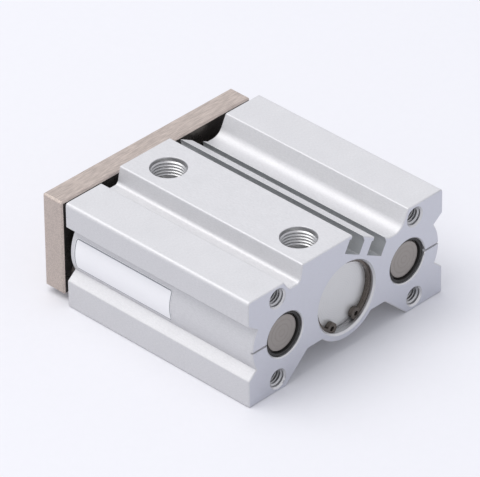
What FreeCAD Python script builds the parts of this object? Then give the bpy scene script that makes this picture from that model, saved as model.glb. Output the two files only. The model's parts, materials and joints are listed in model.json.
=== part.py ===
import FreeCAD, Part
import math
import os

# Compact guided pneumatic cylinder: an extruded aluminium body with one cylinder bore between two
# guide bores, and a steel end plate carried by the piston rod and the two guide rods.
# Millimetres. +Z is up, +Y is the way the plate moves out, X runs across the width.
# The origin is under the middle of the retracted cylinder, on the face that its feet stand on.

# Main sizes
stroke = 25.0
piston_length = 10.8
body_width = 58.0
lug_top = 26.0
axis_height = 13.0
plate_gap = 2.0
plate_thickness = 5.8
plate_side_inset = 0.9
plate_height = 23.2
plate_chamfer = 0.4

# Body section
foot_width = 10.8
foot_height = 6.5
lug_height = 5.9
left_lug_width = 10.4
right_lug_width = 10.5
side_groove_rise = 1.9
boss_radius = 9.6
barrel_radius = 10.0
web_bottom = 6.1
arch_run = 6.6
v_groove_depth = 2.3
v_groove_run = 1.6
v_groove_floor = 3.1
rail_height = 1.7
rail_width = 14.6
rail_flank_run = 0.8
slope_angle = 28.5
lug_flank_run = 2.3
edge_round = 0.8
small_round = 0.4
root_round = 1.0
trough_round = 3.0
end_chamfer = 0.2

# Sensor slots, cut square to the sloping face beside the rail
slot_count = 2
slot_start = 0.2
slot_pitch = 7.5
slot_mouth = 3.6
slot_depth = 4.1
slot_lip = 0.9
slot_undercut = 0.4
slot_bevel = 0.9
slot_outer_lip = 1.6

# Cylinder bore and its two end pockets
bore_radius = 6.0
pocket_radius = 8.3
mouth_chamfer = 0.4
head_cover_thickness = 5.0
rod_cover_thickness = 5.4
relief_radius = 6.9
relief_length = 3.2

# Retaining rings
ring_setback = 1.0
ring_thickness = 1.0
ring_groove_depth = 0.6
ring_play = 0.05
ring_band = 1.2
ring_lug_radius = 1.35
ring_lug_hole = 0.55
ring_lug_angle = 28.5
ring_turn = -2.5

# Air ports
port_edge_distance = 6.6
port_radius = 3.6
port_mouth_radius = 4.1
port_depth = 5.5
passage_radius = 0.8
passage_side_shift = 1.8
passage_inward_shift = 1.2

# Seals and bumpers
gasket_width = 1.5
bumper_thickness = 1.2
bumper_inner_radius = 3.6
bumper_outer_radius = 5.4
rod_seal_width = 2.4
rod_seal_wall = 1.6
piston_seal_width = 1.8
piston_seal_wall = 1.5
magnet_width = 3.0
magnet_wall = 1.6
seal_from_nose = 1.6
magnet_from_seal = 1.4
nose_chamfer = 0.6
lip_opening = 0.5

# Rods
piston_rod_radius = 3.0
spigot_radius = 2.0
rivet_height = 0.8
rivet_radius = 2.9
guide_rod_radius = 4.5
guide_side_distance = 10.7
guide_bore_radius = 5.2
guide_mouth_chamfer = 0.25
guide_rod_setback = 1.0
rod_chamfer = 0.4

# Guide bushes, and the felt wipers that keep dust out of the front ones
bush_length = 12.0
bush_setback = 0.6
wiper_thickness = 2.0
holder_thickness = 0.6
holder_setback = 0.3
vent_width = 0.5
vent_depth = 0.5

# Screws and tapped holes
screw_radius = 2.0
screw_head_radius = 3.5
screw_head_height = 3.2
screw_recess = 3.6
screw_length = 12.0
screw_socket_radius = 1.7
screw_socket_depth = 2.0
screw_tip_gap = 1.5
tap_radius = 1.65
tap_mouth_radius = 2.4
rear_hole_depth = 10.0
rear_hole_side_distance = 8.5
rear_hole_edge_distance = 3.0
plate_hole_side_distance = 4.1
plate_hole_edge_distance = 4.6
foot_hole_radius = 2.1
foot_hole_mouth_radius = 2.6
foot_hole_depth = 6.0
foot_hole_side_distance = 4.0
foot_pitch_y = 20.0
drill_tip_angle = 59.0

# Fits
running_clearance = 0.05
head_clearance = 0.3
end_clearance = 0.1

# Places worked out from the sizes above
cover_setback = ring_setback + ring_thickness + 2 * ring_play
cushion = bumper_thickness + end_clearance
chamber_length = piston_length + stroke + 2 * cushion
body_length = 2 * cover_setback + head_cover_thickness + rod_cover_thickness + chamber_length
total_length = body_length + plate_gap + plate_thickness
rear_y = -total_length / 2
front_y = rear_y + body_length
plate_inner_y = front_y + plate_gap
plate_outer_y = plate_inner_y + plate_thickness
chamber_rear_y = rear_y + cover_setback + head_cover_thickness
chamber_front_y = chamber_rear_y + chamber_length
piston_rear_y = chamber_rear_y + cushion
piston_front_y = piston_rear_y + piston_length
piston_radius = bore_radius - 2 * running_clearance
half_width = body_width / 2
guide_x = half_width - guide_side_distance
plate_width = body_width - 2 * plate_side_inset
rail_top = lug_top + rail_height
groove_floor_z = lug_top - v_groove_depth
groove_start_x = -half_width + left_lug_width
rail_left_x = groove_start_x + v_groove_run + v_groove_floor + rail_flank_run
rail_right_x = rail_left_x + rail_width
port_x = rail_left_x + port_edge_distance
slope_length = slot_start + (slot_count - 1) * slot_pitch + slot_mouth + slot_outer_lip
screw_seat_y = plate_outer_y - screw_recess
rear_hole_x = half_width - rear_hole_side_distance
rear_hole_z = axis_height - rear_hole_edge_distance
plate_hole_x = plate_width / 2 - plate_hole_side_distance
plate_hole_z = plate_height / 2 - plate_hole_edge_distance
foot_hole_x = half_width - foot_hole_side_distance
SIDES = {"left": -1, "right": 1}
NORTH = FreeCAD.Vector(0, 1, 0)
UP = FreeCAD.Vector(0, 0, 1)


def point(x, z, y=0.0):
    return FreeCAD.Vector(x, y, z)


def rod(radius, y0, y1, x=0.0, z=axis_height):
    return Part.makeCylinder(radius, y1 - y0, point(x, z, y0), NORTH)


def tube(outer, inner, y0, y1, x=0.0, z=axis_height):
    return rod(outer, y0, y1, x, z).cut(rod(inner, y0, y1, x, z))


def turned(profile, x=0.0, z=axis_height):
    """A turned solid about an axis along Y, from the corners (y, radius) of its half section."""
    corners = [point(x + radius, z, y) for y, radius in profile]
    face = Part.Face(Part.makePolygon(corners + corners[:1]))
    return face.revolve(point(x, z), NORTH, 360)


def solid_turned(steps, x=0.0, z=axis_height):
    """A turned solid with no hole: its outline is closed along the axis."""
    return turned([(steps[0][0], 0.0)] + steps + [(steps[-1][0], 0.0)], x, z)


def rounded_corner(before, corner, after, radius):
    """The start, middle and end of the arc that rounds a corner between two straight sides."""
    a = (before - corner).normalize()
    b = (after - corner).normalize()
    half = a.getAngle(b) / 2
    reach = radius / math.tan(half)
    inset = radius / math.sin(half) - radius
    return corner + a * reach, corner + (a + b).normalize() * inset, corner + b * reach


def section(path):
    """A face in the XZ plane from corners (x, z) or (x, z, round). An entry ("by", x, z) between
    two corners joins them by an arc through that place."""
    corners, by = [], {}
    for entry in path:
        if entry[0] == "by":
            by[len(corners)] = point(entry[1], entry[2])
        else:
            corners.append(entry)
    places = [point(entry[0], entry[1]) for entry in corners]
    edges, arrive, leave = [], [], []
    for i, entry in enumerate(corners):
        start = end = places[i]
        if len(entry) > 2:
            after = places[(i + 1) % len(places)]
            start, middle, end = rounded_corner(places[i - 1], places[i], after, entry[2])
            edges.append(Part.Arc(start, middle, end).toShape())
        arrive.append(start)
        leave.append(end)
    for i in range(len(corners)):
        if i in by:
            edges.append(Part.Arc(leave[i - 1], by[i], arrive[i]).toShape())
        else:
            edges.append(Part.LineSegment(leave[i - 1], arrive[i]).toShape())
    return Part.Face(Part.Wire(Part.__sortEdges__(edges)))


def half_chord(radius, offset):
    return math.sqrt(radius**2 - offset**2)


def slope_point(along, out):
    """A place given along the sloping face from the rail's edge, and outwards from that face."""
    angle = math.radians(slope_angle)
    x = rail_right_x + along * math.cos(angle) + out * math.sin(angle)
    z = rail_top - along * math.sin(angle) + out * math.cos(angle)
    return x, z


def side_path(side):
    """One side of the section, foot to lug, with the boss that the guide bore needs."""
    wall = side * half_width
    low = foot_height + side_groove_rise
    high = lug_top - lug_height - side_groove_rise
    def boss_x(z):
        return side * (guide_x + half_chord(boss_radius, z - axis_height))
    return [
        (wall, 0, small_round),
        (wall, foot_height, small_round),
        (boss_x(low), low),
        ("by", side * (guide_x + boss_radius), axis_height),
        (boss_x(high), high),
        (wall, lug_top - lug_height, small_round),
        (wall, lug_top, edge_round),
    ]


def top_path():
    """The top of the section from the left lug to the right one."""
    trough_x, trough_z = slope_point(slope_length, 0)
    lug_x = half_width - right_lug_width
    return [
        (groove_start_x, lug_top, small_round),
        (groove_start_x + v_groove_run, groove_floor_z, small_round),
        (rail_left_x - rail_flank_run, groove_floor_z, root_round),
        (rail_left_x, rail_top, small_round),
        (rail_right_x, rail_top),
        (trough_x, trough_z),
        (lug_x - lug_flank_run, trough_z, trough_round),
        (lug_x, lug_top, small_round),
    ]


def bottom_path():
    """The underside from the right foot to the left one, with the barrel round the bore."""
    foot_x = half_width - foot_width
    barrel_x = half_chord(barrel_radius, axis_height - web_bottom)
    return [
        (foot_x, 0, small_round),
        (foot_x - arch_run, web_bottom, root_round),
        (barrel_x, web_bottom),
        ("by", 0, axis_height - barrel_radius),
        (-barrel_x, web_bottom),
        (arch_run - foot_x, web_bottom, root_round),
        (-foot_x, 0, small_round),
    ]


def end_slice(face, y, inward):
    """The slice at one end of the bar, where its outline's sharp edge is taken off."""
    small = face.makeOffset2D(-end_chamfer, 2)
    small.translate(NORTH * y)
    full = face.copy()
    full.translate(NORTH * (y + inward * end_chamfer))
    return Part.makeLoft([small.OuterWire, full.OuterWire], True, True)


def extrusion():
    face = section(side_path(-1) + top_path() + side_path(1)[::-1] + bottom_path())
    bar = face.extrude(NORTH * (body_length - 2 * end_chamfer))
    bar.translate(NORTH * (rear_y + end_chamfer))
    return bar.fuse([end_slice(face, rear_y, 1), end_slice(face, front_y, -1)])


def end_pocket_steps(cover_thickness):
    """Steps (distance from the end face, radius) of the bore's pocket for a cover and its ring."""
    groove_end = cover_setback
    pocket_end = cover_setback + cover_thickness
    return [
        (0, pocket_radius + mouth_chamfer),
        (mouth_chamfer, pocket_radius),
        (ring_setback, pocket_radius),
        (ring_setback, pocket_radius + ring_groove_depth),
        (groove_end, pocket_radius + ring_groove_depth),
        (groove_end, pocket_radius),
        (pocket_end, pocket_radius),
        (pocket_end, relief_radius),
        (pocket_end + relief_length, relief_radius),
        (pocket_end + relief_length, bore_radius),
    ]


def cylinder_bore():
    rear = [(rear_y + d, r) for d, r in end_pocket_steps(head_cover_thickness)]
    front = [(front_y - d, r) for d, r in end_pocket_steps(rod_cover_thickness)]
    return solid_turned(rear + front[::-1])


def guide_bore(side):
    mouth = guide_bore_radius + guide_mouth_chamfer
    return solid_turned([
        (rear_y, mouth),
        (rear_y + guide_mouth_chamfer, guide_bore_radius),
        (front_y - guide_mouth_chamfer, guide_bore_radius),
        (front_y, mouth),
    ], side * guide_x)


def vent(side):
    """A shallow slot in the rear face that lets air out of the guide bore."""
    box = Part.makeBox(half_width - guide_x, vent_depth, vent_width)
    x = guide_x if side > 0 else -half_width
    box.translate(point(x, axis_height - vent_width / 2, rear_y))
    return box


def sensor_slot(index):
    left = slot_start + index * slot_pitch
    right = left + slot_mouth
    outline = [
        (left, slot_lip),
        (left, -slot_lip),
        (left - slot_undercut, -slot_lip),
        (left - slot_undercut, -slot_depth),
        (right + slot_bevel, -slot_depth),
        (right + slot_bevel, -slot_bevel),
        (right, 0),
        (right, slot_lip),
    ]
    slot = section([slope_point(*corner) for corner in outline]).extrude(NORTH * body_length)
    slot.translate(NORTH * rear_y)
    return slot


def drilled(radius, mouth_radius, depth, place, inward):
    """A blind drilled hole with a countersunk mouth and the cone that a drill leaves."""
    tip = radius / math.tan(math.radians(drill_tip_angle))
    sink = mouth_radius - radius
    hole = Part.makeCylinder(radius, depth, place, inward)
    mouth = Part.makeCone(mouth_radius, radius, sink, place, inward)
    end = Part.makeCone(radius, 0, tip, place + inward * depth, inward)
    return hole.fuse([mouth, end])


def air_port(passage_y, inward):
    """A port in the rail, and the passage from its floor to the end of the chamber."""
    port_y = passage_y - inward * passage_inward_shift
    port = drilled(port_radius, port_mouth_radius, port_depth, point(port_x, rail_top, port_y), -UP)
    drop = rail_top - port_depth - axis_height
    x = port_x + passage_side_shift
    passage = Part.makeCylinder(passage_radius, drop, point(x, axis_height, passage_y), UP)
    return port.fuse(passage)


def screw_holes():
    """Four tapped holes in the rear face and four in the feet."""
    holes = []
    middle_y = (rear_y + front_y) / 2
    for i in (-1, 1):
        for j in (-1, 1):
            rear_place = point(i * rear_hole_x, axis_height + j * rear_hole_z, rear_y)
            foot_place = point(i * foot_hole_x, 0, middle_y + j * foot_pitch_y / 2)
            holes.append(drilled(tap_radius, tap_mouth_radius, rear_hole_depth, rear_place, NORTH))
            holes.append(drilled(foot_hole_radius, foot_hole_mouth_radius, foot_hole_depth,
                                 foot_place, UP))
    return holes


def body():
    cuts = [cylinder_bore()]
    cuts += [guide_bore(side) for side in SIDES.values()]
    cuts += [vent(side) for side in SIDES.values()]
    cuts += [sensor_slot(i) for i in range(slot_count)]
    cuts.append(air_port(chamber_rear_y + relief_length / 2, 1))
    cuts.append(air_port(chamber_front_y - relief_length / 2, -1))
    return extrusion().cut(cuts + screw_holes())


def gasket_groove(y, wall):
    """Corners of a gasket's groove, centred at y, in a cover whose rim has this radius."""
    floor = pocket_radius - gasket_width
    half = gasket_width / 2
    return [(y - half, wall), (y - half, floor), (y + half, floor), (y + half, wall)]


def gasket(y):
    """A gasket squeezed to fill its groove."""
    half = gasket_width / 2
    return tube(pocket_radius, pocket_radius - gasket_width, y - half, y + half)


def head_cover():
    rim = pocket_radius - running_clearance
    y0, y1 = chamber_rear_y - head_cover_thickness, chamber_rear_y
    steps = [(y0, rim - rod_chamfer), (y0 + rod_chamfer, rim)]
    steps += gasket_groove((y0 + y1) / 2, rim)
    return solid_turned(steps + [(y1, rim)])


def rod_cover():
    """The front cover: it guides the piston rod and holds the rod seal in its outer end."""
    rim = pocket_radius - running_clearance
    bore = piston_rod_radius + running_clearance
    y0, y1 = chamber_front_y, chamber_front_y + rod_cover_thickness
    seat = y1 - rod_seal_width
    outline = [(y0, bore), (y0, rim)] + gasket_groove((y0 + y1) / 2, rim)
    outline += [(y1 - rod_chamfer, rim), (y1, rim - rod_chamfer)]
    outline += [(y1, bore + rod_seal_wall), (seat, bore + rod_seal_wall), (seat, bore)]
    return turned(outline)


def rod_seal():
    """A U-shaped lip seal, open towards the chamber that it holds the air in."""
    inner = piston_rod_radius + running_clearance
    outer = inner + rod_seal_wall
    middle = (inner + outer) / 2
    y1 = chamber_front_y + rod_cover_thickness
    y0 = y1 - rod_seal_width
    return turned([
        (y1, inner), (y1, outer), (y0, outer), (y0, middle + lip_opening / 2),
        ((y0 + y1) / 2, middle), (y0, middle - lip_opening / 2), (y0, inner),
    ])


def retaining_ring(y):
    """An internal ring for a bore, open at the bottom between two lugs with plier holes."""
    y0, y1 = y - ring_thickness / 2, y + ring_thickness / 2
    outer = pocket_radius + ring_groove_depth - ring_play
    band = tube(outer, outer - ring_band, y0, y1)
    spread = math.tan(math.radians(ring_lug_angle)) * outer
    gap = section([(0, axis_height), (-spread, axis_height - outer), (spread, axis_height - outer)])
    gap = gap.extrude(NORTH * ring_thickness)
    gap.translate(NORTH * y0)
    ring = band.cut(gap)
    lug_centre = outer - ring_lug_radius
    angle = math.radians(ring_lug_angle)
    for side in SIDES.values():
        x = side * lug_centre * math.sin(angle)
        z = axis_height - lug_centre * math.cos(angle)
        ring = ring.fuse(rod(ring_lug_radius, y0, y1, x, z)).cut(rod(ring_lug_hole, y0, y1, x, z))
    ring = ring.removeSplitter()
    ring.rotate(point(0, axis_height), NORTH, ring_turn)
    return ring


def bumper(y0):
    return tube(bumper_outer_radius, bumper_inner_radius, y0, y0 + bumper_thickness)


def guide_bush(side, y0):
    inner = guide_rod_radius + running_clearance
    return tube(guide_bore_radius, inner, y0, y0 + bush_length, side * guide_x)


def front_stack(thicknesses):
    """The inner faces of what fills the front of a guide bore, from the front face inwards."""
    y = front_y - holder_setback
    places = []
    for thickness in thicknesses:
        y -= thickness
        places.append(y)
    return places


def wiper_holder(side, y0):
    inner = guide_rod_radius + head_clearance
    return tube(guide_bore_radius, inner, y0, y0 + holder_thickness, side * guide_x)


def felt_wiper(side, y0):
    inner = guide_rod_radius + 2 * running_clearance
    return tube(guide_bore_radius, inner, y0, y0 + wiper_thickness, side * guide_x)


def screw_socket(radius, depth, x):
    """A hexagonal socket sunk in a screw's head from its outer face."""
    face_y = screw_seat_y + screw_head_height
    corners = []
    for k in range(6):
        angle = math.radians(60 * k)
        corners.append((x + radius * math.cos(angle), axis_height + radius * math.sin(angle)))
    socket = section(corners).extrude(NORTH * depth)
    socket.translate(NORTH * (face_y - depth))
    return socket


def rod_screw(x):
    """A socket head screw that ties a rod to the end plate."""
    face_y = screw_seat_y + screw_head_height
    screw = solid_turned([
        (screw_seat_y - screw_length, screw_radius),
        (screw_seat_y, screw_radius), (screw_seat_y, screw_head_radius),
        (face_y - rod_chamfer, screw_head_radius), (face_y, screw_head_radius - rod_chamfer),
    ], x)
    return screw.cut(screw_socket(screw_socket_radius, screw_socket_depth, x))


def rod_end_hole(x):
    depth = screw_length - (plate_thickness - screw_recess) + screw_tip_gap
    return rod(screw_radius, plate_inner_y - depth, plate_inner_y, x)


def guide_rod(side):
    x = side * guide_x
    y0 = rear_y + guide_rod_setback
    shaft = solid_turned([
        (y0, guide_rod_radius - rod_chamfer), (y0 + rod_chamfer, guide_rod_radius),
        (plate_inner_y, guide_rod_radius),
    ], x)
    return shaft.cut(rod_end_hole(x))


def piston_rod():
    """The rod, and the spigot at its rear that is riveted over in the piston."""
    shaft = solid_turned([
        (piston_rear_y, rivet_radius), (piston_rear_y + rivet_height, rivet_radius),
        (piston_rear_y + rivet_height, spigot_radius), (piston_front_y, spigot_radius),
        (piston_front_y, piston_rod_radius), (plate_inner_y, piston_rod_radius),
    ])
    return shaft.cut(rod_end_hole(0))


def seal_y():
    return piston_rear_y + seal_from_nose


def magnet_y():
    return seal_y() + piston_seal_width + magnet_from_seal


def piston():
    floor_seal = piston_radius - piston_seal_wall
    floor_magnet = piston_radius - magnet_wall
    seal_end = seal_y() + piston_seal_width
    magnet_end = magnet_y() + magnet_width
    return turned([
        (piston_rear_y, rivet_radius), (piston_rear_y, piston_radius - nose_chamfer),
        (piston_rear_y + nose_chamfer, piston_radius),
        (seal_y(), piston_radius), (seal_y(), floor_seal),
        (seal_end, floor_seal), (seal_end, piston_radius),
        (magnet_y(), piston_radius), (magnet_y(), floor_magnet),
        (magnet_end, floor_magnet), (magnet_end, piston_radius),
        (piston_front_y - nose_chamfer, piston_radius),
        (piston_front_y, piston_radius - nose_chamfer), (piston_front_y, spigot_radius),
        (piston_rear_y + rivet_height, spigot_radius), (piston_rear_y + rivet_height, rivet_radius),
    ])


def piston_seal():
    outer = piston_radius + running_clearance
    return tube(outer, piston_radius - piston_seal_wall, seal_y(), seal_y() + piston_seal_width)


def magnet():
    return tube(piston_radius, piston_radius - magnet_wall, magnet_y(), magnet_y() + magnet_width)


def end_plate():
    plate = Part.makeBox(plate_width, plate_thickness, plate_height)
    plate.translate(point(-plate_width / 2, axis_height - plate_height / 2, plate_inner_y))
    plate = plate.makeChamfer(plate_chamfer, plate.Edges)
    cuts = []
    for x in (-guide_x, 0.0, guide_x):
        cuts.append(rod(screw_radius + running_clearance, plate_inner_y, plate_outer_y, x))
        cuts.append(rod(screw_head_radius + head_clearance, screw_seat_y, plate_outer_y, x))
    for i in (-1, 1):
        for j in (-1, 1):
            x, z = i * plate_hole_x, axis_height + j * plate_hole_z
            cuts.append(rod(tap_radius, plate_inner_y, plate_outer_y, x, z))
    return plate.cut(cuts)


def all_parts():
    holder_y, wiper_y, bush_y = front_stack([holder_thickness, wiper_thickness, bush_length])
    ring_offset = ring_setback + ring_play + ring_thickness / 2
    parts = {
        "body": body(),
        "head_cover": head_cover(),
        "head_cover_gasket": gasket(chamber_rear_y - head_cover_thickness / 2),
        "rear_retaining_ring": retaining_ring(rear_y + ring_offset),
        "rear_bumper": bumper(chamber_rear_y),
        "rod_cover": rod_cover(),
        "rod_cover_gasket": gasket(chamber_front_y + rod_cover_thickness / 2),
        "rod_seal": rod_seal(),
        "front_retaining_ring": retaining_ring(front_y - ring_offset),
        "front_bumper": bumper(chamber_front_y - bumper_thickness),
        "end_plate": end_plate(),
        "piston_rod": piston_rod(),
        "piston": piston(),
        "piston_seal": piston_seal(),
        "piston_magnet": magnet(),
        "piston_rod_screw": rod_screw(0.0),
    }
    for name, side in SIDES.items():
        parts[f"rear_guide_bush_{name}"] = guide_bush(side, rear_y + bush_setback)
        parts[f"front_guide_bush_{name}"] = guide_bush(side, bush_y)
        parts[f"felt_wiper_{name}"] = felt_wiper(side, wiper_y)
        parts[f"wiper_holder_{name}"] = wiper_holder(side, holder_y)
        parts[f"guide_rod_{name}"] = guide_rod(side)
        parts[f"guide_rod_screw_{name}"] = rod_screw(side * guide_x)
    return parts


os.makedirs("parts", exist_ok=True)
for name, shape in all_parts().items():
    print(name, shape.ShapeType, "valid" if shape.isValid() else "NOT VALID", len(shape.Solids),
          round(shape.Volume, 1))
    shape.exportStep(f"parts/{name}.step")
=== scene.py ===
import json
import math

import bmesh
import bpy
from mathutils import Matrix, Vector
from mathutils.bvhtree import BVHTree


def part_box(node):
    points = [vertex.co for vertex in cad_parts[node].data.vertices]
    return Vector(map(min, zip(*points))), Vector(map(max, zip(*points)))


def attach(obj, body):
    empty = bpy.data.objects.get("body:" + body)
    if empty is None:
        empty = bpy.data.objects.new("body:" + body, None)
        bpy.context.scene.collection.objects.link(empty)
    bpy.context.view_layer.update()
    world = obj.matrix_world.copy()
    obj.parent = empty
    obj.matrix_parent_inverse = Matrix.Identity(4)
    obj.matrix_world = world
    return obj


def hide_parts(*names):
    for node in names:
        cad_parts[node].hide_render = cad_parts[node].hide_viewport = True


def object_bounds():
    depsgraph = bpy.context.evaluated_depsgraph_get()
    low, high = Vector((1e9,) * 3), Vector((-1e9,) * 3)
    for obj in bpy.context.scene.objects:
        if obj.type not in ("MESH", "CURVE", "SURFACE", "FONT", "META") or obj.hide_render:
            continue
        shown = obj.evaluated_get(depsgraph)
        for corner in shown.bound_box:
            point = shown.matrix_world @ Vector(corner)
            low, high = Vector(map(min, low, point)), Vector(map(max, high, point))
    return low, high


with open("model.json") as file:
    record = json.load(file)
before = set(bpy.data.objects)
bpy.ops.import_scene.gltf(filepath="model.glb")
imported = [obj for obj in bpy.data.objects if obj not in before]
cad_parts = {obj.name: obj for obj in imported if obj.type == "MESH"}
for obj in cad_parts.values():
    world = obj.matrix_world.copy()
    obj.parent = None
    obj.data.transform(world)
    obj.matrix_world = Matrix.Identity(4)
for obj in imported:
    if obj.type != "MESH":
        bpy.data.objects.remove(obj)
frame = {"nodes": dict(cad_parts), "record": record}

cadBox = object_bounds()
nodes = frame["nodes"]
mounts = {mount["name"]: mount for mount in frame["record"]["mounts"]}
sides = ("left", "right")
print("frame loaded:", len(nodes), "nodes")


def addNode(tree, kind, inputs=None, **settings):
    node = tree.nodes.new(kind)
    for name, value in settings.items():
        setattr(node, name, value)
    for name, value in (inputs or {}).items():
        if isinstance(value, bpy.types.NodeSocket):
            tree.links.new(value, node.inputs[name])
        else:
            node.inputs[name].default_value = value
    return node


def calc(tree, operation, *values):
    node = addNode(tree, "ShaderNodeMath", dict(enumerate(values)), operation=operation)
    return node.outputs[0]


# Finishes. A look gives sizes in metres: grain is how wide the fine marks are and stretch how much
# longer they run along x, y and z, patch is the size of the soft clouds, depth is how deep the
# marks are and edge how far each sharp edge is broken, with 0 for none. The grain takes grainShare
# of the colour's change and the clouds take the rest.

noiseForm = {"grainDetail": 2.0, "cloudDetail": 3.0, "roughness": 0.55, "low": 0.3, "high": 0.7}
evenStretch = (1, 1, 1)
bevelSamples = 6


def noiseField(tree, place, size, stretch=evenStretch, detail=noiseForm["grainDetail"]):
    scale = tuple(1 / (size * along) for along in stretch)
    mapping = addNode(tree, "ShaderNodeMapping", {"Vector": place, "Scale": scale})
    noise = addNode(tree, "ShaderNodeTexNoise", {
        "Vector": mapping.outputs[0], "Scale": 1.0, "Detail": detail,
        "Roughness": noiseForm["roughness"]})
    return noise.outputs[0]


def spread(tree, value, low, high):
    node = addNode(tree, "ShaderNodeMapRange", {
        "Value": value, "From Min": noiseForm["low"], "From Max": noiseForm["high"],
        "To Min": low, "To Max": high})
    return node.outputs[0]


def tinted(tree, value, color, change):
    mix = addNode(tree, "ShaderNodeMix", data_type="RGBA")
    factor, dark, light = mix.inputs[0], mix.inputs[6], mix.inputs[7]
    dark.default_value = (*(part * (1 - change) for part in color), 1)
    light.default_value = (*(min(1.0, part * (1 + change)) for part in color), 1)
    tree.links.new(spread(tree, value, 0.0, 1.0), factor)
    return mix.outputs[2]


def turnedRings(tree, place, centre, pitch):
    away = addNode(tree, "ShaderNodeVectorMath", {0: place, 1: centre}, operation="SUBTRACT")
    parts = addNode(tree, "ShaderNodeSeparateXYZ", {0: away.outputs[0]})
    square = calc(tree, "ADD", calc(tree, "POWER", parts.outputs["X"], 2.0),
                  calc(tree, "POWER", parts.outputs["Z"], 2.0))
    turns = calc(tree, "MULTIPLY", calc(tree, "SQRT", square), 2 * math.pi / pitch)
    return calc(tree, "MULTIPLY_ADD", calc(tree, "SINE", turns), 0.5, 0.5)


def makeFinish(name, look, centre=None):
    material = bpy.data.materials.new(name)
    material.use_nodes = True
    tree = material.node_tree
    shader = tree.nodes["Principled BSDF"]
    shader.inputs["Metallic"].default_value = look["metallic"]
    place = addNode(tree, "ShaderNodeTexCoord").outputs["Object"]
    grain = noiseField(tree, place, look["grain"], look.get("stretch", evenStretch))
    clouds = noiseField(tree, place, look["patch"], detail=noiseForm["cloudDetail"])
    height = grain
    if centre is not None:
        rings = turnedRings(tree, place, centre, look["ringPitch"])
        height = calc(tree, "ADD", calc(tree, "MULTIPLY", rings, look["ringShare"]), grain)
    grainShare = look.get("grainShare", 0.5)
    softPart = calc(tree, "MULTIPLY", clouds, 1 - grainShare)
    mixed = calc(tree, "MULTIPLY_ADD", height, grainShare, softPart)
    color = tinted(tree, mixed, look["color"], look["change"])
    tree.links.new(color, shader.inputs["Base Color"])
    tree.links.new(spread(tree, clouds, *look["roughness"]), shader.inputs["Roughness"])
    bump = addNode(tree, "ShaderNodeBump", {
        "Strength": 1.0, "Distance": look["depth"], "Height": height})
    if look["edge"] > 0:
        broken = addNode(tree, "ShaderNodeBevel", {"Radius": look["edge"]}, samples=bevelSamples)
        tree.links.new(broken.outputs[0], bump.inputs["Normal"])
    tree.links.new(bump.outputs[0], shader.inputs["Normal"])
    return material


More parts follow.
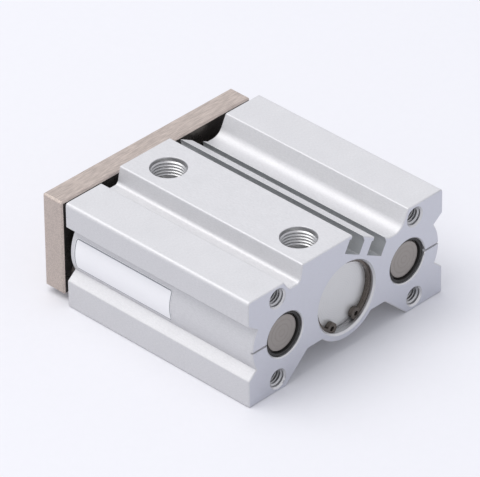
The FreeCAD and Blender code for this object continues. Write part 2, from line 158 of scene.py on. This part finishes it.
looks = {
    "anodisedSkin": {  # extruded faces under clear anodising
        "color": (0.64, 0.637, 0.648), "change": 0.06, "metallic": 0.38, "roughness": (0.48, 0.56),
        "grain": 0.0002, "stretch": (1, 3, 1), "grainShare": 0.8, "patch": 0.004,
        "depth": 0.00001, "edge": 0.0001},
    "anodisedEndsPaintedShade": {  # milled ends, anodised with the rest; darker and bluer than the skin, partly the milled finish and partly painted shade of the rear end
        "color": (0.615, 0.622, 0.672), "change": 0.03, "metallic": 0.60, "roughness": (0.36, 0.44),
        "grain": 0.00016, "stretch": (6, 1, 1), "grainShare": 0.7, "patch": 0.004,
        "depth": 0.000006, "edge": 0.00012},
    "slotWallsPaintedShade": {  # left as extruded; darker than the outer faces, painted shade inside the sensor slots
        "color": (0.44, 0.45, 0.46), "change": 0.08, "metallic": 0.45, "roughness": (0.40, 0.50),
        "grain": 0.00018, "stretch": (1, 10, 1), "patch": 0.003, "depth": 0.00001, "edge": 0.0001},
    "boredWalls": {
        "color": (0.60, 0.60, 0.605), "change": 0.06, "metallic": 0.85, "roughness": (0.30, 0.40),
        "grain": 0.00015, "patch": 0.002, "depth": 0.000008, "edge": 0.00006},
    # darker than the bored walls: painted shade inside the tapped holes
    "cutThreadsPaintedShade": {
        "color": (0.47, 0.47, 0.475), "change": 0.06, "metallic": 0.9, "roughness": (0.28, 0.38),
        "grain": 0.0002, "patch": 0.002, "depth": 0.000003, "edge": 0.0},
    "machinedAluminium": {
        "color": (0.68, 0.68, 0.675), "change": 0.04, "metallic": 0.6, "roughness": (0.30, 0.40),
        "grain": 0.00025, "patch": 0.003, "depth": 0.000006, "edge": 0.00012,
        "ringPitch": 0.0005, "ringShare": 0.5},
    "nickelPlate": {
        "color": (0.505, 0.434, 0.388), "change": 0.26, "metallic": 0.7, "roughness": (0.34, 0.44),
        "grain": 0.00015, "stretch": (15, 1, 1.2), "grainShare": 0.9, "patch": 0.0025,
        "depth": 0.000012, "edge": 0.0002},
    "plateInsidePaintedShade": {  # the face towards the body, dark: painted shade of the gap between plate and body
        "color": (0.115, 0.104, 0.094), "change": 0.2, "metallic": 0.9, "roughness": (0.22, 0.30),
        "grain": 0.00018, "stretch": (9, 1, 1), "patch": 0.003, "depth": 0.000006, "edge": 0.0001},
    "plateBores": {
        "color": (0.50, 0.46, 0.43), "change": 0.08, "metallic": 1.0, "roughness": (0.25, 0.35),
        "grain": 0.0002, "patch": 0.002, "depth": 0.000008, "edge": 0.0001},
    "rodSteel": {
        "color": (0.30, 0.276, 0.254), "change": 0.10, "metallic": 0.7, "roughness": (0.28, 0.38),
        "grain": 0.0003, "patch": 0.0016, "depth": 0.000008, "edge": 0.0001,
        "ringPitch": 0.0011, "ringShare": 0.9},
    "springSteel": {
        "color": (0.13, 0.112, 0.098), "change": 0.2, "metallic": 0.85, "roughness": (0.2, 0.3),
        "grain": 0.0002, "patch": 0.0015, "depth": 0.00001, "edge": 0.00015},
    "screwSteel": {
        "color": (0.33, 0.32, 0.32), "change": 0.10, "metallic": 0.95, "roughness": (0.28, 0.4),
        "grain": 0.0002, "patch": 0.0012, "depth": 0.000008, "edge": 0.00012},
    "bearingLining": {
        "color": (0.020, 0.019, 0.018), "change": 0.25, "metallic": 0.0, "roughness": (0.45, 0.6),
        "grain": 0.0002, "patch": 0.0015, "depth": 0.00001, "edge": 0.00012},
    "nitrileRubber": {
        "color": (0.030, 0.030, 0.032), "change": 0.25, "metallic": 0.0, "roughness": (0.5, 0.65),
        "grain": 0.00025, "patch": 0.002, "depth": 0.000015, "edge": 0.0001},
    "urethane": {
        "color": (0.66, 0.50, 0.22), "change": 0.10, "metallic": 0.0, "roughness": (0.35, 0.5),
        "grain": 0.0003, "patch": 0.002, "depth": 0.00001, "edge": 0.00015},
    "magnetRubber": {
        "color": (0.11, 0.105, 0.10), "change": 0.2, "metallic": 0.2, "roughness": (0.5, 0.62),
        "grain": 0.0002, "patch": 0.0015, "depth": 0.00001, "edge": 0.0001},
    "pressedFelt": {
        "color": (0.40, 0.38, 0.34), "change": 0.3, "metallic": 0.0, "roughness": (0.85, 0.95),
        "grain": 0.00012, "stretch": (3, 1, 3), "patch": 0.0008, "depth": 0.00006, "edge": 0.0002},
}


def axisOf(name):
    low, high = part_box(name)
    return (low + high) / 2


def dressNode(name, material):
    nodes[name].material_slots[0].material = material


plainFinishes = {
    "springSteel": ["rear_retaining_ring", "front_retaining_ring",
                    "wiper_holder_left", "wiper_holder_right"],
    "screwSteel": ["piston_rod_screw", "guide_rod_screw_left", "guide_rod_screw_right"],
    "bearingLining": [end + "_guide_bush_" + side for end in ("rear", "front") for side in sides],
    "nitrileRubber": ["head_cover_gasket", "rod_cover_gasket", "rod_seal", "piston_seal"],
    "urethane": ["rear_bumper", "front_bumper"],
    "magnetRubber": ["piston_magnet"],
    "pressedFelt": ["felt_wiper_left", "felt_wiper_right"],
}
turnedFinishes = {
    "machinedAluminium": ["head_cover", "rod_cover", "piston"],
    "rodSteel": ["piston_rod", "guide_rod_left", "guide_rod_right"],
}
for finish, names in plainFinishes.items():
    material = makeFinish(finish, looks[finish])
    for name in names:
        dressNode(name, material)
for finish, names in turnedFinishes.items():
    for name in names:
        dressNode(name, makeFinish(finish + "." + name, looks[finish], axisOf(name)))
print("finishes made")


# Tapped holes. The solids have them at the tapping radius, and here their walls go out to the
# thread's root. The ridge starts a little below the mouth.

tappedHoles = {
    "rear_screw_holes": {
        "node": "body", "rootRadius": 0.0020, "pitch": 0.0007, "depth": 0.0090, "start": 0.0007},
    "foot_screw_holes": {
        "node": "body", "rootRadius": 0.0025, "pitch": 0.0008, "depth": 0.0056, "start": 0.0007},
    "rear_air_port": {
        "node": "body", "rootRadius": 0.0039, "pitch": 0.00075, "depth": 0.0053, "start": 0.0006},
    "front_air_port": {
        "node": "body", "rootRadius": 0.0039, "pitch": 0.00075, "depth": 0.0053, "start": 0.0006},
    "plate_screw_holes": {
        "node": "end_plate", "rootRadius": 0.0020, "pitch": 0.0007, "depth": 0.0058,
        "start": 0.0007},
}
holeWalls = {  # which of a mesh's vertices are on a tapped hole's wall
    "radiusWithin": 0.00002, "mouthWithin": 0.00001, "pastDepth": 0.002, "countersink": 0.001}
meshing = {"mergeWithin": 0.000001, "flatAngle": 0.2, "sharpAngle": 28, "flatWeight": 90}


def tapRadius(mount):
    dims = mount["dims"]
    return dims.get("hole_r_mm", dims.get("r_mm")) / 1000


def holeMouths(name):
    mount = mounts[name]
    outward = Vector(mount["axis"])
    low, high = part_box(tappedHoles[name]["node"])
    middle = Vector(mount["pos_m"])
    face = max(low.dot(outward), high.dot(outward))
    middle += outward * (face - middle.dot(outward))
    if mount["kind"] != "bolt_pattern":
        return [middle]
    across = Vector((1, 0, 0)) * mount["dims"]["spacing_x_mm"] / 2000
    along = outward.cross(Vector((1, 0, 0))) * mount["dims"]["spacing_y_mm"] / 2000
    return [middle + across * i + along * j for i in (-1, 1) for j in (-1, 1)]


def openOut(mesh, name):
    plan, mount = tappedHoles[name], mounts[name]
    inward, tap = -Vector(mount["axis"]), tapRadius(mount)
    growth = plan["rootRadius"] - tap
    for mouth in holeMouths(name):
        for vertex in mesh.verts:
            away = vertex.co - mouth
            deep = away.dot(inward)
            radial = away - inward * deep
            onRadius = abs(radial.length - tap) <= holeWalls["radiusWithin"]
            inDepth = -holeWalls["mouthWithin"] < deep < plan["depth"] + holeWalls["pastDepth"]
            if not (onRadius and inDepth):
                continue
            vertex.co += radial.normalized() * growth
            if deep < holeWalls["countersink"]:  # it keeps its slope
                vertex.co -= inward * min(deep, growth)


def evaluatedMesh(holder):
    graph = bpy.context.evaluated_depsgraph_get()
    return bpy.data.meshes.new_from_object(holder.evaluated_get(graph))


def copiedNode(name):
    mesh = bmesh.new()
    mesh.from_mesh(nodes[name].data)
    bmesh.ops.remove_doubles(mesh, verts=mesh.verts, dist=meshing["mergeWithin"])
    for hole, plan in tappedHoles.items():
        if plan["node"] == name:
            openOut(mesh, hole)
    bmesh.ops.dissolve_limit(mesh, angle_limit=math.radians(meshing["flatAngle"]),
                             verts=mesh.verts, edges=mesh.edges)
    return mesh


def addPiece(name, mesh, body, materials):
    for face in mesh.faces:
        face.smooth = True
    data = bpy.data.meshes.new(name)
    mesh.to_mesh(data)
    mesh.free()
    data.set_sharp_from_angle(angle=math.radians(meshing["sharpAngle"]))
    for material in materials:
        data.materials.append(material)
    piece = bpy.data.objects.new(name, data)
    bpy.context.scene.collection.objects.link(piece)
    flat = piece.modifiers.new("flatFaces", "WEIGHTED_NORMAL")
    flat.keep_sharp, flat.weight = True, meshing["flatWeight"]
    piece.data = evaluatedMesh(piece)
    piece.modifiers.clear()
    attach(piece, body)
    return piece


bodyFinishes = [makeFinish(name, looks[name])
                for name in ("anodisedSkin", "anodisedEndsPaintedShade", "boredWalls", "slotWallsPaintedShade")]
plateFinishes = [makeFinish(name, looks[name])
                 for name in ("nickelPlate", "plateBores", "plateInsidePaintedShade")]
cutThreadsPaintedShade = makeFinish("cutThreadsPaintedShade", looks["cutThreadsPaintedShade"])

# How far round its hole a bored finish reaches: round and past a tapped hole, and round the bores
boredReach = {"tapped": 0.0006, "pastTapped": 0.003, "body": 0.0008, "plate": 0.0004}


def inAnyHole(point, holes):
    for start, inward, radius, depth in holes:
        away = point - start
        deep = away.dot(inward)
        if 0 <= deep <= depth and (away - inward * deep).length < radius:
            return True
    return False


def tappedSpaces(node):
    spaces = []
    for name, plan in tappedHoles.items():
        if plan["node"] == node:
            for mouth in holeMouths(name):
                inward = -Vector(mounts[name]["axis"])
                radius = plan["rootRadius"] + boredReach["tapped"]
                spaces.append((mouth, inward, radius, plan["depth"] + boredReach["pastTapped"]))
    return spaces


def boredSpaces(node, names, margin):
    rear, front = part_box(node)[0].y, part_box(node)[1].y
    spaces = []
    for name in names:
        low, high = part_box(name)
        start = axisOf(name)
        start.y = rear
        radius = (high.x - low.x) / 2 + margin
        spaces.append((start, Vector((0, 1, 0)), radius, front - rear))
    return spaces


# The sensor slots lie in the face that slopes down from the rail. from and to are that face's two
# ends in a section (x, z), the slots' walls lie between skin and reach below it, and sideways is
# how far past its ends they may come.
slotFace = {"from": (0.0015, 0.0277), "to": (0.0128, 0.0215), "skin": 0.0001, "reach": 0.0044,
            "sideways": 0.003}


def inSlots(point):
    x0, z0 = slotFace["from"]
    x1, z1 = slotFace["to"]
    run, fall = x1 - x0, z0 - z1
    under = ((z0 - point.z) * run - (point.x - x0) * fall) / math.hypot(run, fall)
    beside = x0 - slotFace["sideways"] < point.x < x1 + slotFace["sideways"]
    return beside and slotFace["skin"] < under < slotFace["reach"]


# How much of a normal is along y on a face square to y and on a bore's wall, and how near an end
# of the body the middle of an end face lies
facing = {"square": 0.999, "bore": 0.5, "endWithin": 0.00001}


def makeBodyShell():
    mesh = copiedNode("body")
    low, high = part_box("body")
    fitted = ["head_cover_gasket", "rear_guide_bush_left", "rear_guide_bush_right"]
    holes = tappedSpaces("body") + boredSpaces("body", fitted, boredReach["body"])
    for face in mesh.faces:
        middle = face.calc_center_median()
        toEnd = min(middle.y - low.y, high.y - middle.y)
        # end faces: the milled finish, with painted shade
        if abs(face.normal.y) > facing["square"] and toEnd < facing["endWithin"]:
            face.material_index = 1
        elif inAnyHole(middle, holes):
            face.material_index = 2
        # the slot walls take the darker finish, painted shade in the slots
        elif inSlots(middle):
            face.material_index = 3
    shell = addPiece("bodyShell", mesh, "housing", bodyFinishes)
    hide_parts("body")
    return shell


def makePlateShell():
    mesh = copiedNode("end_plate")
    fitted = ["piston_rod_screw", "guide_rod_screw_left", "guide_rod_screw_right"]
    holes = tappedSpaces("end_plate") + boredSpaces("end_plate", fitted, boredReach["plate"])
    for face in mesh.faces:
        # faces towards the body take the dark finish, painted shade of the gap
        if face.normal.y < -facing["square"]:
            face.material_index = 2
        elif abs(face.normal.y) < facing["bore"] and inAnyHole(face.calc_center_median(), holes):
            face.material_index = 1
    shell = addPiece("plateShell", mesh, "carriage", plateFinishes)
    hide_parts("end_plate")


bodyShell = makeBodyShell()
makePlateShell()
print("body and plate made")


# Threads: a ridge along a spiral in each tapped hole. It fades over runOut turns at each end, down
# to tip of its section, and its root is sunk into the wall.

threadForm = {"crestShare": 0.14, "baseShare": 0.92, "sunk": 0.00004, "sides": 36,
              "runOut": 0.35, "tip": 0.02}


def threadTree():
    tree = bpy.data.node_groups.new("threadRidges", "GeometryNodeTree")
    face = tree.interface
    face.new_socket(name="Hole Mouths", in_out="INPUT", socket_type="NodeSocketGeometry")
    for name in ("Root Radius", "Ridge Height", "Base Width", "Crest Width", "Turns", "Length",
                 "Run Out", "Tip"):
        face.new_socket(name=name, in_out="INPUT", socket_type="NodeSocketFloat")
    face.new_socket(name="Inward", in_out="INPUT", socket_type="NodeSocketVector")
    face.new_socket(name="Sides", in_out="INPUT", socket_type="NodeSocketInt")
    face.new_socket(name="Finish", in_out="INPUT", socket_type="NodeSocketMaterial")
    face.new_socket(name="Threads", in_out="OUTPUT", socket_type="NodeSocketGeometry")
    given = addNode(tree, "NodeGroupInput").outputs
    profile = addNode(tree, "GeometryNodeCurvePrimitiveQuadrilateral", {
        "Bottom Width": given["Base Width"], "Top Width": given["Crest Width"], "Offset": 0.0,
        "Height": given["Ridge Height"]}, mode="TRAPEZOID")
    half = calc(tree, "MULTIPLY", given["Ridge Height"], 0.5)
    lift = addNode(tree, "ShaderNodeCombineXYZ", {"Y": half})
    onBase = addNode(tree, "GeometryNodeTransform",
                     {"Geometry": profile.outputs[0], "Translation": lift.outputs[0]})
    pointedIn = addNode(tree, "GeometryNodeTransform",
                        {"Geometry": onBase.outputs[0], "Rotation": (0, 0, -math.pi / 2)})
    spiral = addNode(tree, "GeometryNodeCurveSpiral", {
        "Resolution": given["Sides"], "Rotations": given["Turns"],
        "Start Radius": given["Root Radius"], "End Radius": given["Root Radius"],
        "Height": given["Length"], "Reverse": False})
    upright = addNode(tree, "GeometryNodeSetCurveNormal", {"Curve": spiral.outputs[0]}, mode="Z_UP")
    along = addNode(tree, "GeometryNodeSplineParameter").outputs["Factor"]
    turnsIn = calc(tree, "MULTIPLY", along, given["Turns"])
    turnsLeft = calc(tree, "SUBTRACT", given["Turns"], turnsIn)
    nearest = calc(tree, "DIVIDE", calc(tree, "MINIMUM", turnsIn, turnsLeft), given["Run Out"])
    fade = calc(tree, "MAXIMUM", calc(tree, "MINIMUM", nearest, 1.0), given["Tip"])
    ridge = addNode(tree, "GeometryNodeCurveToMesh", {
        "Curve": upright.outputs[0], "Profile Curve": pointedIn.outputs[0], "Scale": fade,
        "Fill Caps": True})
    rightHand = addNode(tree, "GeometryNodeTransform",
                        {"Geometry": ridge.outputs[0], "Scale": (-1, 1, 1)})
    outside = addNode(tree, "GeometryNodeFlipFaces", {"Mesh": rightHand.outputs[0]})
    turn = addNode(tree, "FunctionNodeAlignRotationToVector",
                   {"Vector": given["Inward"]}, axis="Z")
    placed = addNode(tree, "GeometryNodeInstanceOnPoints", {
        "Points": given["Hole Mouths"], "Instance": outside.outputs[0],
        "Rotation": turn.outputs[0]})
    real = addNode(tree, "GeometryNodeRealizeInstances", {"Geometry": placed.outputs[0]})
    dressed = addNode(tree, "GeometryNodeSetMaterial",
                      {"Geometry": real.outputs[0], "Material": given["Finish"]})
    addNode(tree, "NodeGroupOutput", {"Threads": dressed.outputs[0]})
    return tree


def threadMesh(tree, name, finish):
    plan, mount = tappedHoles[name], mounts[name]
    inward = -Vector(mount["axis"])
    sunk = threadForm["sunk"]
    length = plan["depth"] - plan["start"] - plan["pitch"] / 2
    points = bpy.data.meshes.new(name)
    points.from_pydata([mouth + inward * plan["start"] for mouth in holeMouths(name)], [], [])
    holder = bpy.data.objects.new(name, points)
    bpy.context.scene.collection.objects.link(holder)
    modifier = holder.modifiers.new("threadRidges", "NODES")
    modifier.node_group = tree
    values = {
        "Root Radius": plan["rootRadius"] + sunk,
        "Ridge Height": plan["rootRadius"] - tapRadius(mount) + sunk,
        "Base Width": plan["pitch"] * threadForm["baseShare"],
        "Crest Width": plan["pitch"] * threadForm["crestShare"],
        "Turns": length / plan["pitch"], "Length": length,
        "Run Out": threadForm["runOut"], "Tip": threadForm["tip"],
        "Inward": inward, "Sides": threadForm["sides"], "Finish": finish}
    for item in tree.interface.items_tree:
        if item.name in values:
            modifier[item.identifier] = values[item.name]
    mesh = evaluatedMesh(holder)
    bpy.data.objects.remove(holder)
    return mesh


def makeThreads(pieceName, node, body, finish):
    tree = threadTree()
    joined = bmesh.new()
    for name, plan in tappedHoles.items():
        if plan["node"] == node:
            joined.from_mesh(threadMesh(tree, name, finish))
    addPiece(pieceName, joined, body, [finish])


makeThreads("housingThreads", "body", "housing", cutThreadsPaintedShade)
makeThreads("plateThreads", "end_plate", "carriage", plateFinishes[1])
print("threads made")


# The blank sticker on the left side, laid on the body's own surface. insets are the steps from an
# edge at which its columns stand.

sticker = {
    "frontMargin": 0.0012, "length": 0.0283, "low": 0.0096, "high": 0.0171,
    "thickness": 0.00008, "corner": 0.0009, "rows": 28,
    "insets": (0, 0.0001, 0.0002, 0.0003, 0.0004, 0.0006, 0.001, 0.003),
    # the dark band just inside the sticker's edge is painted shadow of that edge
    "paintedShadowFrom": 0.00008, "paintedShadowTo": 0.00032, "paintedEdgeShadow": (0.26, 0.27, 0.29, 1),
    "paper": (0.93, 0.925, 0.94), "paperChange": 0.008, "roughness": (0.42, 0.46),
    "fibre": 0.0004, "fibreStretch": (1, 3, 1),
}


def stickerFinish():
    material = bpy.data.materials.new("stickerFilm")
    material.use_nodes = True
    tree = material.node_tree
    shader = tree.nodes["Principled BSDF"]
    edge = addNode(tree, "ShaderNodeAttribute", attribute_name="edgeDistance").outputs["Fac"]
    # a dark band along the sticker's edge: painted shadow of that edge
    inside = calc(tree, "GREATER_THAN", edge, sticker["paintedShadowFrom"])
    outside = calc(tree, "LESS_THAN", edge, sticker["paintedShadowTo"])
    place = addNode(tree, "ShaderNodeTexCoord").outputs["Object"]
    fibres = noiseField(tree, place, sticker["fibre"], sticker["fibreStretch"])
    paper = tinted(tree, fibres, sticker["paper"], sticker["paperChange"])
    onPaintedShadow = calc(tree, "MULTIPLY", inside, outside)
    mix = addNode(tree, "ShaderNodeMix", {0: onPaintedShadow, 6: paper}, data_type="RGBA")
    mix.inputs[7].default_value = sticker["paintedEdgeShadow"]
    tree.links.new(mix.outputs[2], shader.inputs["Base Color"])
    tree.links.new(spread(tree, fibres, *sticker["roughness"]), shader.inputs["Roughness"])
    return material


def makeSticker():
    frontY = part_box("body")[1].y - sticker["frontMargin"]
    backY = frontY - sticker["length"]
    surface = BVHTree.FromObject(bodyShell, bpy.context.evaluated_depsgraph_get())
    mesh = bmesh.new()
    edgeLayer = mesh.verts.layers.float.new("edgeDistance")
    rows = []
    for i in range(sticker["rows"] + 1):
        share = (1 - math.cos(math.pi * i / sticker["rows"])) / 2  # closer together near the edges
        z = sticker["low"] + share * (sticker["high"] - sticker["low"])
        toEdge = min(z - sticker["low"], sticker["high"] - z)
        dip = max(0.0, sticker["corner"] - toEdge)
        inset = sticker["corner"] - math.sqrt(sticker["corner"] ** 2 - dip ** 2)
        outside = Vector((2 * cadBox[0][0], (frontY + backY) / 2, z))
        x = surface.ray_cast(outside, Vector((1, 0, 0)))[0].x
        row = []
        for gap in sticker["insets"]:
            vertex = mesh.verts.new((x, frontY - inset - gap, z))
            vertex[edgeLayer] = min(gap, toEdge)
            row.append(vertex)
        for gap in sticker["insets"][::-1]:
            vertex = mesh.verts.new((x, backY + inset + gap, z))
            vertex[edgeLayer] = min(gap, toEdge)
            row.append(vertex)
        rows.append(row)
    for lower, upper in zip(rows, rows[1:]):
        for j in range(len(lower) - 1):
            mesh.faces.new((lower[j], lower[j + 1], upper[j + 1], upper[j]))
    bmesh.ops.recalc_face_normals(mesh, faces=mesh.faces)
    if sum(face.normal.x for face in mesh.faces) > 0:
        bmesh.ops.reverse_faces(mesh, faces=mesh.faces)
    bmesh.ops.solidify(mesh, geom=mesh.faces[:], thickness=-sticker["thickness"])
    bmesh.ops.recalc_face_normals(mesh, faces=mesh.faces)
    addPiece("sticker", mesh, "housing", [stickerFinish()])


makeSticker()
print("sticker made")


# Studio

viewCamera = {
    "lookAt": (-0.0012, -0.0008, 0.01445), "azimuth": 314.66, "elevation": 34.17, "roll": -0.6,
    "distance": 1.1624, "lens": 417.4, "clip": (0.05, 20.0),
}


def makeCamera():
    azimuth, elevation, roll = (
        math.radians(viewCamera[name]) for name in ("azimuth", "elevation", "roll"))
    back = Vector((math.sin(azimuth) * math.cos(elevation),
                   -math.cos(azimuth) * math.cos(elevation), math.sin(elevation)))
    data = bpy.data.cameras.new("viewCamera")
    data.lens = viewCamera["lens"]
    data.clip_start, data.clip_end = viewCamera["clip"]
    camera = bpy.data.objects.new("viewCamera", data)
    camera.location = Vector(viewCamera["lookAt"]) + back * viewCamera["distance"]
    aim = back.to_track_quat("Z", "Y").to_matrix() @ Matrix.Rotation(roll, 3, "Z")
    camera.rotation_euler = aim.to_euler()
    bpy.context.scene.collection.objects.link(camera)
    bpy.context.scene.camera = camera


keyLamp = {"place": (-0.52, 0.50, 1.78), "size": 1.8, "power": 28.0, "color": (1.0, 0.987, 0.965)}
surroundings = {
    "seen": (0.915, 0.92, 0.975, 1), "light": (0.90, 0.925, 1.0, 1), "lightStrength": 0.66,
    "floorColor": (0.735, 0.732, 0.762), "floorChange": 0.004, "floorFibre": 0.002,
    "floorRoughness": 0.9, "floorGlow": 0.08, "floorSize": 6.0,
    "floorLevel": -0.00005,  # just under the feet, so that the two never share a face
}


def seenDirectly(tree):
    path = addNode(tree, "ShaderNodeLightPath").outputs
    either = calc(tree, "MAXIMUM", path["Is Camera Ray"], path["Is Glossy Ray"])
    return calc(tree, "MAXIMUM", either, path["Is Transmission Ray"])


def makeWorld():
    world = bpy.data.worlds.new("softStudio")
    bpy.context.scene.world = world
    world.use_nodes = True
    tree = world.node_tree
    lighting = tree.nodes["Background"]
    lighting.inputs["Color"].default_value = surroundings["light"]
    lighting.inputs["Strength"].default_value = surroundings["lightStrength"]
    seen = addNode(tree, "ShaderNodeBackground", {"Color": surroundings["seen"], "Strength": 1.0})
    mix = addNode(tree, "ShaderNodeMixShader", {0: seenDirectly(tree)})
    tree.links.new(lighting.outputs[0], mix.inputs[1])
    tree.links.new(seen.outputs[0], mix.inputs[2])
    tree.links.new(mix.outputs[0], tree.nodes["World Output"].inputs["Surface"])


def makeFloor():
    half, level = surroundings["floorSize"] / 2, surroundings["floorLevel"]
    corners = [(x * half, y * half, level) for x, y in ((-1, -1), (1, -1), (1, 1), (-1, 1))]
    data = bpy.data.meshes.new("floor")
    data.from_pydata(corners, [], [(0, 1, 2, 3)])
    floor = bpy.data.objects.new("floor", data)
    bpy.context.scene.collection.objects.link(floor)
    material = bpy.data.materials.new("floorPaper")
    material.use_nodes = True
    tree = material.node_tree
    shader = tree.nodes["Principled BSDF"]
    shader.inputs["Roughness"].default_value = surroundings["floorRoughness"]
    shader.inputs["Specular IOR Level"].default_value = 0.0
    place = addNode(tree, "ShaderNodeTexCoord").outputs["Object"]
    fibres = noiseField(tree, place, surroundings["floorFibre"])
    paper = tinted(tree, fibres, surroundings["floorColor"], surroundings["floorChange"])
    tree.links.new(paper, shader.inputs["Base Color"])
    shader.inputs["Emission Color"].default_value = surroundings["seen"]
    glow = calc(tree, "MULTIPLY", seenDirectly(tree), surroundings["floorGlow"])
    tree.links.new(glow, shader.inputs["Emission Strength"])
    data.materials.append(material)


def makeKeyLamp():
    data = bpy.data.lights.new("key", "AREA")
    data.energy, data.size, data.color = keyLamp["power"], keyLamp["size"], keyLamp["color"]
    lamp = bpy.data.objects.new("key", data)
    lamp.location = keyLamp["place"]
    lamp.rotation_euler = Vector(keyLamp["place"]).to_track_quat("Z", "Y").to_euler()
    bpy.context.scene.collection.objects.link(lamp)


makeCamera()
makeWorld()
makeFloor()
makeKeyLamp()
bpy.context.scene.view_settings.view_transform = "Standard"
print("studio made")
